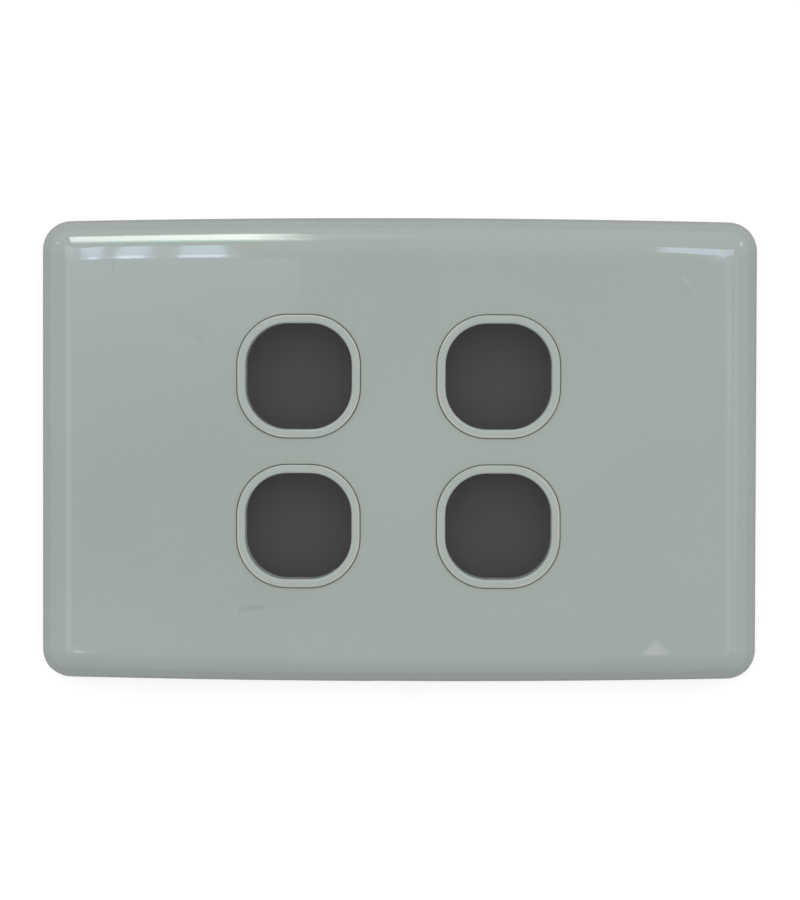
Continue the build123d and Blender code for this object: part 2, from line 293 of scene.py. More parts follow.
def buildWall():
    half, back = studio["wallSize"] / 2, studio["wallGap"]
    corners = [(-half, back, -half), (half, back, -half), (half, back, half), (-half, back, half)]
    # the wall carries the patch of painted shade behind the holes
    backgroundPlane("studioWall", corners, backgroundMaterial("wallPaint", True, 0.0))


def buildFloor():
    half, low = studio["floorSize"] / 2, -studio["floorDrop"]
    corners = [(-half, -half, low), (half, -half, low), (half, half, low), (-half, half, low)]
    backgroundPlane("studioFloor", corners, backgroundMaterial("floorPaint", False, studio["floorSheen"]))


def buildSurroundings():
    world = bpy.data.worlds.new("studioWorld")
    scene.world = world
    world.use_nodes = True
    tree = world.node_tree
    tree.nodes.clear()
    direction = addNode(tree, "ShaderNodeTexCoord").outputs["Generated"]
    up = addNode(tree, "ShaderNodeSeparateXYZ", {0: direction}).outputs["Z"]
    ramp = addNode(tree, "ShaderNodeValToRGB", {0: maths(tree, "MULTIPLY_ADD", up, 0.5, 0.5)})
    levels = (studio["groundLevel"], studio["horizonLevel"], studio["skyLevel"])
    ramp.color_ramp.elements.new(0.5)
    for place, level, element in zip((0.3, 0.5, 0.75), levels, ramp.color_ramp.elements):
        element.position = place
        element.color = (level, level, level, 1)
    back = addNode(tree, "ShaderNodeSeparateXYZ", {0: direction}).outputs["Y"]
    middle, swing = (1 + studio["behindShare"]) / 2, (studio["behindShare"] - 1) / 2
    level = maths(tree, "MULTIPLY_ADD", back, swing, middle)
    room = addNode(tree, "ShaderNodeBackground", {"Color": ramp.outputs[0], "Strength": level}).outputs[0]
    white = addNode(tree, "ShaderNodeBackground", {"Color": (1, 1, 1, 1)}).outputs[0]
    path = addNode(tree, "ShaderNodeLightPath").outputs
    seen = maths(tree, "MAXIMUM", path["Is Camera Ray"], path["Is Transmission Ray"])
    shown = addNode(tree, "ShaderNodeMixShader", {0: seen, 1: room, 2: white}).outputs[0]
    addNode(tree, "ShaderNodeOutputWorld", {"Surface": shown})


def hangLamp(name, lamp):
    towards = towardsDirection(sum(lamp["left"]) / 2, sum(lamp["up"]) / 2)
    far = lamp["far"] * mm
    width = 2 * far * tan(radians(lamp["left"][1] - lamp["left"][0]) / 2)
    height = 2 * far * tan(radians(lamp["up"][1] - lamp["up"][0]) / 2)
    light = bpy.data.lights.new(name, "AREA")
    light.shape = "RECTANGLE"
    light.size, light.size_y = width, height
    light.color = lamp["colour"]
    light.energy = lamp["glow"] * pi * width * height
    holder = bpy.data.objects.new(name, light)
    holder.location = towards * far
    holder.rotation_euler = towards.to_track_quat("Z", "Y").to_euler()
    holder.visible_camera = False
    holder.visible_glossy = False
    scene.collection.objects.link(holder)


def hangCard(name, card):
    rightLow, leftLow, leftHigh, rightHigh = [Vector(corner) for corner in card["corners"]]
    places, shares, faces = [], [], []
    for row in range(cardSteps + 1):
        for column in range(cardSteps + 1):
            low = rightLow.lerp(leftLow, column / cardSteps)
            left, up, share = low.lerp(rightHigh.lerp(leftHigh, column / cardSteps), row / cardSteps)
            if card.get("lean"):
                left *= 1 + leanRate * up**leanPower
            places.append(towardsDirection(left, up) * cardDistance * mm)
            shares.append(share * card["glow"])
            if row and column:
                k = len(places) - 1
                faces.append((k, k - 1, k - cardSteps - 2, k - cardSteps - 1))
    mesh = bpy.data.meshes.new(name)
    mesh.from_pydata(places, [], faces)
    mesh.attributes.new("strength", "FLOAT", "POINT").data.foreach_set("value", shares)
    material = bpy.data.materials.new(name)
    material.use_nodes = True
    tree = material.node_tree
    tree.nodes.clear()
    share = addNode(tree, "ShaderNodeAttribute", attribute_name="strength").outputs["Fac"]
    glow = addNode(tree, "ShaderNodeEmission", {"Color": (*card["colour"], 1), "Strength": share})
    clear = addNode(tree, "ShaderNodeBsdfTransparent").outputs[0]
    both = addNode(tree, "ShaderNodeAddShader", {0: glow.outputs[0], 1: clear}).outputs[0]
    addNode(tree, "ShaderNodeOutputMaterial", {"Surface": both})
    material.cycles.emission_sampling = "NONE"
    mesh.materials.append(material)
    piece = meshObject(name, mesh)
    piece.visible_camera = piece.visible_diffuse = piece.visible_shadow = False


buildWall()
buildFloor()
buildSurroundings()
for lampName, lampValues in lamps.items():
    hangLamp(lampName, lampValues)
for cardName, cardValues in cards.items():
    hangCard(cardName, cardValues)
print("studio is set up")


# Front cover: one thin moulding with bowed long sides and a front that rolls over into them

coverLow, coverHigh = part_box("front_cover")
cover = {
    "sideBow": 0.7,  # how far the middle of a long side stands out past its ends
    "corner": 4.7,
    "draft": 7.0,
    "rollDepth": 4.9,
    "sideRoll": 5.6,  # width of the roll with the leaning side below it
    "topRoll": 6.7,
    "bottomRoll": 4.8,
    "flatCorner": 0.7,
    "wall": 1.9,
    "frontWall": 2.0,
    "innerRoll": 3.0,  # depth of the roll inside
    "innerSideRoll": 3.7,
    "innerTopRoll": 4.5,
    "innerBottomRoll": 3.2,
    "rimEdge": 0.25,
    "holePitchX": 32.0,
    "holePitchZ": 24.0,
    "holeWidth": 19.8,
    "holeCorner": 8.1,
    "holeEdge": 0.08,
    "guard": 0.12,  # a narrow flat ring that keeps the shading of the front flat
    "straightSteps": 24,
    "bowSteps": 40,
    "cornerSteps": 22,
    "rollSteps": 22,
    "holeSteps": 20,
    "padRadius": 2.0,
    "padSeat": 6.5,  # from the wall to the back of a pad
    "padSink": 0.4,  # how far a pad starts inside the front's wall
    "padSides": 36,
    "padPlacesX": (-48.0, -16.0, 16.0, 48.0),
    "padPlaceZ": 26.5,
    "ribLength": 10.0,
    "ribPlaceX": 30.0,
    "ribLine": 4.0,  # from the outline in to the line that the ribs are measured from
    "ribSection": ((3.05, -2.6), (0.3, -2.6), (0.3, -2.1), (3.05, -0.9)),
    "notchWidth": 8.0,
    "notchDepth": 1.2,
    "notchReach": 4.0,  # up from the plate's lower edge
}

halfWidth = coverHigh.x / mm
halfHeight = (coverHigh.z - coverLow.z) / 2 / mm
frontY = coverLow.y / mm
rimY = coverHigh.y / mm
bowRadius = (halfWidth**2 + cover["sideBow"]**2) / (2 * cover["sideBow"])
bowCentre = halfHeight - bowRadius


def quarterOutline(sideInset, longInset, corner):
    # From the middle of the right side, round the corner, to the middle of the long side.
    centreX = halfWidth - sideInset - corner
    centreZ = bowCentre + sqrt((bowRadius - longInset - corner) ** 2 - centreX**2)
    turn = atan2(centreZ - bowCentre, centreX)
    points = []
    for k in range(cover["straightSteps"]):
        points.append((centreX + corner, centreZ * k / cover["straightSteps"], 0.0))
    for k in range(cover["cornerSteps"]):
        share = k / cover["cornerSteps"]
        points.append((centreX + corner * cos(turn * share), centreZ + corner * sin(turn * share), share))
    for k in range(cover["bowSteps"] + 1):
        angle = turn + (pi / 2 - turn) * k / cover["bowSteps"]
        reach = bowRadius - longInset
        points.append((reach * cos(angle), bowCentre + reach * sin(angle), 1.0))
    return points


def wholeOutline(sideInset, topInset, bottomInset, corner):
    # Each point is x, z, and how far it is round from a short side to a long one.
    top = quarterOutline(sideInset, topInset, corner)
    bottom = [(x, -z, share) for x, z, share in quarterOutline(sideInset, bottomInset, corner)]
    topLeft = [(-x, z, share) for x, z, share in reversed(top)]
    bottomLeft = [(-x, z, share) for x, z, share in bottom]
    return top[:-1] + topLeft[:-1] + bottomLeft[:-1] + list(reversed(bottom))[:-1]


def rollProfile(width, depth, ahead, back, lean):
    # Shares of the width, and y, from where the roll leaves the leaning side to the flat front.
    across = width
    for _ in range(6):  # the start and the width across depend on each other, and soon settle
        start = atan(depth / across * tan(lean))
        sideY = ahead + depth - depth * sin(start)
        across = (width - (back - sideY) * tan(lean)) / cos(start)
    profile = []
    for k in range(cover["rollSteps"] + 1):
        angle = start + (pi / 2 - start) * k / cover["rollSteps"]
        profile.append((1 - across * cos(angle) / width, ahead + depth - depth * sin(angle)))
    return profile


def smooth(share):
    return share * share * (3 - 2 * share)


def rimProfile(width, edge, lean, side):
    # The edge at the rim: its first point turns in on the outside (side 1) and out on the inside (-1).
    flatPart, bendIn, bendAhead = 0.5, 0.12, 0.35
    return [(side * edge * flatPart / width, rimY), (edge * bendIn / width, rimY - edge * bendAhead),
            (edge * tan(lean) / width, rimY - edge)]


def straightBetween(first, last, parts):
    # The points that part a line, without its ends.
    mixes = [k / parts for k in range(1, parts)]
    return [tuple(a * (1 - mix) + b * mix for a, b in zip(first, last)) for mix in mixes]


def shellRings(inset, ahead, depth, rolls, corner, side):
    # Rings from the rim forward to the flat, for the outside or the inside of the cover.
    lean = radians(cover["draft"])
    sideRoll, topRoll, bottomRoll = rolls
    outer = wholeOutline(inset, inset, inset, cover["corner"] - inset)
    flat = wholeOutline(inset + sideRoll, inset + topRoll, inset + bottomRoll, corner)
    profiles = []
    for x, z, share in outer:
        width = sideRoll + ((topRoll if z > 0 else bottomRoll) - sideRoll) * smooth(share)
        rim = rimProfile(width, cover["rimEdge"], lean, side)
        roll = rollProfile(width, depth, ahead, rimY, lean)
        profiles.append(rim + straightBetween(rim[-1], roll[0], 4) + roll)
    rings = []
    for level in range(len(profiles[0])):
        ring = []
        for (xo, zo, _), (xf, zf, _), profile in zip(outer, flat, profiles):
            share, y = profile[level]
            ring.append(Vector((xo + (xf - xo) * share, y, zo + (zf - zo) * share)))
        rings.append(ring)
    return rings


def roundedSquare(width, corner, steps, y):
    # Points of a square with round corners, anticlockwise as seen from the front.
    reach = width / 2 - corner
    points = []
    for k, (side, up) in enumerate(((1, 1), (-1, 1), (-1, -1), (1, -1))):
        for step in range(steps + 1):
            angle = pi / 2 * (k + step / steps)
            points.append(Vector((side * reach + corner * cos(angle), y, up * reach + corner * sin(angle))))
    return points


def addRing(work, ring, shift=Vector((0, 0, 0))):
    return [work.verts.new((point + shift) * mm) for point in ring]


def bridge(work, first, second):
    # Faces between two rings of as many points, facing out of the first towards the front.
    for k in range(len(first)):
        n = (k + 1) % len(first)
        work.faces.new((first[k], first[n], second[n], second[k]))


def bridgeAll(work, rings):
    for first, second in zip(rings, rings[1:]):
        bridge(work, first, second)


def fillBetween(work, loops, facing):
    edges = []
    for loop in loops:
        for k in range(len(loop)):
            edges.append(work.edges.get((loop[k], loop[(k + 1) % len(loop)])))
    made = bmesh.ops.triangle_fill(work, use_beauty=True, edges=edges, normal=facing)["geom"]
    faces = [item for item in made if isinstance(item, bmesh.types.BMFace)]
    for face in faces:
        if face.normal.dot(facing) < 0:
            face.normal_flip()


holePlaces = [
    Vector((side * cover["holePitchX"] / 2, 0, up * cover["holePitchZ"] / 2))
    for side in (-1, 1) for up in (-1, 1)
]


def buildCoverShell():
    work = bmesh.new()
    ceiling = frontY + cover["frontWall"]
    outerRolls = (cover["sideRoll"], cover["topRoll"], cover["bottomRoll"])
    innerRolls = (cover["innerSideRoll"], cover["innerTopRoll"], cover["innerBottomRoll"])
    outside = shellRings(0, frontY, cover["rollDepth"], outerRolls, cover["flatCorner"], 1)
    inside = shellRings(cover["wall"], ceiling, cover["innerRoll"], innerRolls, cover["flatCorner"], -1)
    shrinkX, shrinkZ = 1 - cover["guard"] / halfWidth, 1 - cover["guard"] / halfHeight
    flatGuard = [Vector((point.x * shrinkX, point.y, point.z * shrinkZ)) for point in outside[-1]]
    outerLoops = [addRing(work, ring) for ring in outside + [flatGuard]]
    innerLoops = [addRing(work, ring) for ring in inside]
    bridgeAll(work, outerLoops)
    bridgeAll(work, list(reversed(innerLoops)) + [outerLoops[0]])
    frontLoops, ceilingLoops = [outerLoops[-1]], [innerLoops[-1]]
    edge, guard = cover["holeEdge"], cover["guard"]
    for place in holePlaces:
        levels = [(0, ceiling), (0, frontY + edge)]
        for k in (1, 2, 3):
            angle = pi / 2 * k / 3
            levels.append((edge * (1 - cos(angle)), frontY + edge - edge * sin(angle)))
        levels.append((edge + guard, frontY))
        rings = []
        for grow, y in levels:
            loop = roundedSquare(cover["holeWidth"] + 2 * grow, cover["holeCorner"] + grow,
                                 cover["holeSteps"], y)
            rings.append(addRing(work, loop, place))
        bridgeAll(work, list(reversed(rings)))
        frontLoops.append(rings[-1])
        ceilingLoops.append(rings[0])
    fillBetween(work, frontLoops, Vector((0, -1, 0)))
    fillBetween(work, ceilingLoops, Vector((0, 1, 0)))
    mesh = bpy.data.meshes.new("coverShell")
    work.to_mesh(mesh)
    work.free()
    return mesh


def addPrism(work, section, along):
    # A closed bar: the section's points, and the same ones moved along.
    near = [work.verts.new(Vector(point) * mm) for point in section]
    far = [work.verts.new((Vector(point) + Vector(along)) * mm) for point in section]
    work.faces.new(near)
    work.faces.new(list(reversed(far)))
    for k in range(len(near)):
        n = (k + 1) % len(near)
        work.faces.new((near[n], near[k], far[k], far[n]))


def addPads(work):
    y = frontY + cover["frontWall"] - cover["padSink"]
    for x in cover["padPlacesX"]:
        for side in (-1, 1):
            ring = []
            for k in range(cover["padSides"]):
                angle = 2 * pi * k / cover["padSides"]
                ring.append((x + cover["padRadius"] * cos(angle), y,
                             side * cover["padPlaceZ"] + cover["padRadius"] * sin(angle)))
            addPrism(work, ring, (0, -cover["padSeat"] - y, 0))


def addCatchRibs(work):
    lineX = halfWidth - cover["ribLine"]
    lineZ = halfHeight - cover["sideBow"] - cover["ribLine"]
    half = cover["ribLength"] / 2
    for side in (-1, 1):
        ends = [(side * (lineX + out), y, -half) for out, y in cover["ribSection"]]
        addPrism(work, ends, (0, 0, 2 * half))
        for x in (-cover["ribPlaceX"], cover["ribPlaceX"]):
            bars = [(x - half, y, side * (lineZ + out)) for out, y in cover["ribSection"]]
            addPrism(work, bars, (2 * half, 0, 0))


def addNotch(work):
    # A block that stands past the rim and the lower edge, and reaches through the wall.
    half, past = cover["notchWidth"] / 2, 1.0
    y, low, high = rimY - cover["notchDepth"], -halfHeight - past, -halfHeight + cover["notchReach"]
    section = [(-half, y, low), (half, y, low), (half, y, high), (-half, y, high)]
    addPrism(work, section, (0, cover["notchDepth"] + past, 0))


def combine(piece, operation, addShapes):
    work = bmesh.new()
    addShapes(work)
    bmesh.ops.recalc_face_normals(work, faces=work.faces)
    mesh = bpy.data.meshes.new("shapes")
    work.to_mesh(mesh)
    work.free()
    shapes = meshObject("shapes", mesh)
    modifier = piece.modifiers.new("combine", "BOOLEAN")
    modifier.operation = operation
    modifier.solver = "EXACT"
    modifier.object = shapes
    evaluated = piece.evaluated_get(bpy.context.evaluated_depsgraph_get())
    combined = bpy.data.meshes.new_from_object(evaluated)
    piece.modifiers.remove(modifier)
    piece.data = combined
    bpy.data.objects.remove(shapes)


coverPiece = meshObject("coverShell", buildCoverShell())
for addShapes in (addPads, addCatchRibs):
    combine(coverPiece, "UNION", addShapes)
combine(coverPiece, "DIFFERENCE", addNotch)
print("cover shell has", len(coverPiece.data.polygons), "faces")


# Fixing screws, made by Geometry Nodes

screw = {
    "Spacing": 84.0,
    "Seat": -2.5,
    "Length": 35.0,
    "Thread Radius": 1.75,
    "Root Radius": 1.36,
    "Pitch": 0.7,
    "Head Radius": 3.5,
    "Head Height": 2.3,
    "Recess Length": 4.2,
    "Recess Width": 0.9,
    "Recess Depth": 1.4,
}
screwTurns = (14.0, 63.0)  # how far each cross recess is turned
screwMesh = {
    "shankAround": 29,
    "rowsPerPitch": 8,
    "headAround": 61,
    "headAlong": 26,
    "tipShare": 0.82,  # of the root radius, at the end of the tip
    "crestSlope": -1.6,  # with the next, makes flanks between a flat crest and a flat root
    "crestStart": 1.3,
    "recessNarrows": -0.45,  # share of its width that a recess loses at its bottom
    "weld": 0.004,
}


def newGeometryTree(name, sizes):
    tree = bpy.data.node_groups.new(name, "GeometryNodeTree")
    for label in sizes:
        tree.interface.new_socket(label, in_out="INPUT", socket_type="NodeSocketFloat")
    tree.interface.new_socket("Finish", in_out="INPUT", socket_type="NodeSocketMaterial")
    tree.interface.new_socket("Mesh", in_out="OUTPUT", socket_type="NodeSocketGeometry")
    return tree, tree.nodes.new("NodeGroupInput").outputs


def finishGeometryTree(tree, geometry, finish):
    whole = addNode(tree, "GeometryNodeRealizeInstances", {0: geometry}).outputs[0]
    painted = addNode(tree, "GeometryNodeSetMaterial", {"Geometry": whole, "Material": finish}).outputs[0]
    addNode(tree, "NodeGroupOutput", {0: painted})


def runGeometryTree(name, tree, sizes, finish):
    holder = meshObject(name, bpy.data.meshes.new(name))
    modifier = holder.modifiers.new("make", "NODES")
    modifier.node_group = tree
    for item in tree.interface.items_tree:
        if item.in_out == "INPUT":
            modifier[item.identifier] = finish if item.name == "Finish" else sizes[item.name] * mm
    evaluated = holder.evaluated_get(bpy.context.evaluated_depsgraph_get())
    mesh = bpy.data.meshes.new_from_object(evaluated)
    bpy.data.objects.remove(holder)
    work = bmesh.new()
    work.from_mesh(mesh)
    bmesh.ops.recalc_face_normals(work, faces=work.faces)
    work.to_mesh(mesh)
    work.free()
    mesh.polygons.foreach_set("use_smooth", [True] * len(mesh.polygons))
    mesh.set_sharp_from_angle(angle=radians(40))
    return meshObject(name, mesh)


def unitGrid(tree, around, along):
    # A grid with its own position as two shares from zero to one, round and along.
    grid = addNode(tree, "GeometryNodeMeshGrid",
                   {"Size X": 1.0, "Size Y": 1.0, "Vertices X": around, "Vertices Y": along}).outputs[0]
    axes = addNode(tree, "ShaderNodeSeparateXYZ", {0: addNode(tree, "GeometryNodeInputPosition").outputs[0]})
    roundShare = maths(tree, "ADD", axes.outputs["X"], 0.5)
    return grid, roundShare, maths(tree, "ADD", axes.outputs["Y"], 0.5)


def turned(tree, grid, roundShare, radius, along):
    # Wraps a grid about the screw's axis, which runs along Y.
    angle = maths(tree, "MULTIPLY", roundShare, 2 * pi)
    x = maths(tree, "MULTIPLY", radius, maths(tree, "COSINE", angle))
    z = maths(tree, "MULTIPLY", radius, maths(tree, "SINE", angle))
    place = addNode(tree, "ShaderNodeCombineXYZ", {"X": x, "Y": along, "Z": z}).outputs[0]
    moved = addNode(tree, "GeometryNodeSetPosition", {"Geometry": grid, "Position": place}).outputs[0]
    weld = {"Geometry": moved, "Distance": screwMesh["weld"] * mm}
    return addNode(tree, "GeometryNodeMergeByDistance", weld).outputs[0]


def threadedShank(tree, size):
    turns = maths(tree, "CEIL", maths(tree, "DIVIDE", size["Length"], size["Pitch"]))
    turns = maths(tree, "ADD", turns, 2.0)  # one more at each end, flattened by the limits below
    rows = maths(tree, "MULTIPLY_ADD", turns, float(screwMesh["rowsPerPitch"]), 1.25)
    grid, roundShare, share = unitGrid(tree, screwMesh["shankAround"], rows)
    run = maths(tree, "MULTIPLY", share, turns)
    raised = maths(tree, "ADD", maths(tree, "SUBTRACT", run, 1.0), roundShare)
    along = maths(tree, "MULTIPLY", raised, size["Pitch"])
    along = maths(tree, "MINIMUM", maths(tree, "MAXIMUM", along, 0.0), size["Length"])
    fall = maths(tree, "ABSOLUTE", maths(tree, "MULTIPLY_ADD", maths(tree, "FRACT", run), 2.0, -1.0))
    crest = maths(tree, "MULTIPLY_ADD", fall, screwMesh["crestSlope"], screwMesh["crestStart"], clamp=True)
    height = maths(tree, "SUBTRACT", size["Thread Radius"], size["Root Radius"])
    radius = maths(tree, "MULTIPLY_ADD", crest, height, size["Root Radius"])
    nearHead = maths(tree, "MULTIPLY_ADD", along, 0.5, size["Root Radius"])
    fromTip = maths(tree, "SUBTRACT", size["Length"], along)
    nearTip = maths(tree, "MULTIPLY_ADD", size["Root Radius"], screwMesh["tipShare"], fromTip)
    radius = maths(tree, "MINIMUM", maths(tree, "MINIMUM", radius, nearHead), nearTip)
    shank = turned(tree, grid, roundShare, radius, maths(tree, "ADD", along, size["Seat"]))
    tipRadius = maths(tree, "MULTIPLY", size["Root Radius"], screwMesh["tipShare"])
    tipGrid, tipRound, tipShare = unitGrid(tree, screwMesh["shankAround"], 3)
    tip = turned(tree, tipGrid, tipRound, maths(tree, "MULTIPLY", tipShare, tipRadius),
                 maths(tree, "ADD", size["Length"], size["Seat"]))
    return [shank, tip]


def panHead(tree, size):
    # The first fifth of the rows is the flat underside, and the rest is the domed side and top.
    grid, roundShare, share = unitGrid(tree, screwMesh["headAround"], screwMesh["headAlong"])
    under = maths(tree, "MULTIPLY", share, 5.0, clamp=True)
    turn = maths(tree, "MULTIPLY_ADD", share, 1.25, -0.25, clamp=True)
    angle = maths(tree, "MULTIPLY", turn, pi / 2)
    outward = maths(tree, "POWER", maths(tree, "COSINE", angle), 0.55)
    upward = maths(tree, "POWER", maths(tree, "SINE", angle), 0.9)
    radius = maths(tree, "MULTIPLY", maths(tree, "MULTIPLY", under, outward), size["Head Radius"])
    along = maths(tree, "SUBTRACT", size["Seat"], maths(tree, "MULTIPLY", upward, size["Head Height"]))
    return turned(tree, grid, roundShare, radius, along)


def recessArm(tree, size, longWays):
    # A block that narrows into the head, twice as deep as the recess so that its outer half stands clear.
    across, through = size["Recess Length"], size["Recess Width"]
    depth = maths(tree, "MULTIPLY", size["Recess Depth"], 2.0)
    axes = {"X": across, "Y": depth, "Z": through} if longWays else {"X": through, "Y": depth, "Z": across}
    extent = addNode(tree, "ShaderNodeCombineXYZ", axes).outputs[0]
    block = addNode(tree, "GeometryNodeMeshCube", {"Size": extent}).outputs["Mesh"]
    place = addNode(tree, "GeometryNodeInputPosition").outputs[0]
    parts = addNode(tree, "ShaderNodeSeparateXYZ", {0: place}).outputs
    inner = maths(tree, "GREATER_THAN", parts["Y"], 0.0)
    narrow = maths(tree, "MULTIPLY_ADD", inner, screwMesh["recessNarrows"], 1.0)
    slide = maths(tree, "SUBTRACT", size["Seat"], size["Head Height"])
    moved = {"X": maths(tree, "MULTIPLY", parts["X"], narrow), "Y": maths(tree, "ADD", parts["Y"], slide),
             "Z": maths(tree, "MULTIPLY", parts["Z"], narrow)}
    target = addNode(tree, "ShaderNodeCombineXYZ", moved).outputs[0]
    return addNode(tree, "GeometryNodeSetPosition", {"Geometry": block, "Position": target}).outputs[0]


def joined(tree, geometries):
    node = tree.nodes.new("GeometryNodeJoinGeometry")
    for geometry in reversed(geometries):
        tree.links.new(geometry, node.inputs[0])
    return node.outputs[0]


def buildScrewTree():
    tree, size = newGeometryTree("machineScrews", screw)
    cut = tree.nodes.new("GeometryNodeMeshBoolean")
    cut.operation = "DIFFERENCE"
    cut.solver = "EXACT"
    tree.links.new(panHead(tree, size), cut.inputs["Mesh 1"])
    for longWays in (True, False):
        tree.links.new(recessArm(tree, size, longWays), cut.inputs["Mesh 2"])
    oneScrew = joined(tree, [cut.outputs["Mesh"]] + threadedShank(tree, size))
    copies = []
    for side, turn in zip((-0.5, 0.5), screwTurns):
        shift = addNode(tree, "ShaderNodeCombineXYZ", {"X": maths(tree, "MULTIPLY", size["Spacing"], side)})
        move = {"Geometry": oneScrew, "Translation": shift.outputs[0], "Rotation": (0, radians(turn), 0)}
        copies.append(addNode(tree, "GeometryNodeTransform", move).outputs[0])
    finishGeometryTree(tree, joined(tree, copies), size["Finish"])
    return tree


# Shared surface effects

def newShaderGroup(name, inputs, outputs):
    tree = bpy.data.node_groups.new(name, "ShaderNodeTree")
    for label, (kind, value) in inputs.items():
        tree.interface.new_socket(label, in_out="INPUT", socket_type=kind).default_value = value
    for label, kind in outputs.items():
        tree.interface.new_socket(label, in_out="OUTPUT", socket_type=kind)
    return tree, tree.nodes.new("NodeGroupInput").outputs, tree.nodes.new("NodeGroupOutput").inputs


def placeGroup(tree, group, inputs):
    return addNode(tree, "ShaderNodeGroup", inputs, node_tree=group).outputs


def objectPlace(tree):
    return addNode(tree, "ShaderNodeTexCoord").outputs["Object"]


def noise(tree, place, size, detail):
    # Noise from zero to one, with blotches of about the given millimetres.
    node = addNode(tree, "ShaderNodeTexNoise", {"Vector": place, "Scale": 1 / (size * mm), "Detail": detail})
    return node.outputs["Fac"]


def smoothStep(tree, value, low, high):
    # Rises smoothly from zero to one between two values.
    node = addNode(tree, "ShaderNodeMapRange", {"Value": value, "From Min": low, "From Max": high},
                   interpolation_type="SMOOTHSTEP")
    return node.outputs["Result"]


skinSizes = {"drift": 22.0, "speckle": 0.42, "smears": 6.0, "waves": 3.2, "waveHeight": 0.02}
seamSizes = {
    "grimeReach": 0.08,  # to either side of the gap
    "grimeRagged": 0.16,  # how much more where the grime is thick
    "grimeBlotch": 5.0,
    "lineInside": 0.25,  # from the gap in to the middle of the lighter, yellowish line: partly yellowed plastic, partly a painted highlight on the collar's rounded edge
    "lineWidth": 0.2,
    "lineCore": 0.04,
    "lineBlotch": 9.0,
    "depthFull": 0.9,  # behind the flat front, down to which both show in full, then none
    "depthNone": 1.2,
}


def mouldedSkinGroup():
    # Colour that drifts a little, a faint pebbling and a slightly wavy gloss.
    tree, given, made = newShaderGroup("mouldedSkin", {
        "Colour": ("NodeSocketColor", (0.35, 0.35, 0.35, 1)),
        "Drift": ("NodeSocketFloat", 0.03),
        "Speckle": ("NodeSocketFloat", 0.03),
        "Roughness": ("NodeSocketFloat", 0.1),
        "Waviness": ("NodeSocketFloat", 0.1),
    }, {"Colour": "NodeSocketColor", "Roughness": "NodeSocketFloat", "Normal": "NodeSocketVector"})
    place = objectPlace(tree)
    broad = maths(tree, "SUBTRACT", noise(tree, place, skinSizes["drift"], 1.0), 0.5)
    fine = maths(tree, "SUBTRACT", noise(tree, place, skinSizes["speckle"], 2.0), 0.5)
    level = maths(tree, "MULTIPLY_ADD", broad, given["Drift"], 1.0)
    level = maths(tree, "MULTIPLY_ADD", fine, given["Speckle"], level)
    scaled = addNode(tree, "ShaderNodeVectorMath", {0: given["Colour"], "Scale": level}, operation="SCALE")
    tree.links.new(scaled.outputs[0], made["Colour"])
    rough = maths(tree, "MULTIPLY_ADD", noise(tree, place, skinSizes["smears"], 3.0), 0.5, 0.75)
    tree.links.new(maths(tree, "MULTIPLY", given["Roughness"], rough), made["Roughness"])
    waves = maths(tree, "MULTIPLY_ADD", fine, 0.06, noise(tree, place, skinSizes["waves"], 1.0))
    bump = addNode(tree, "ShaderNodeBump", {"Strength": given["Waviness"], "Height": waves,
                                            "Distance": skinSizes["waveHeight"] * mm})
    tree.links.new(bump.outputs[0], made["Normal"])
    return tree


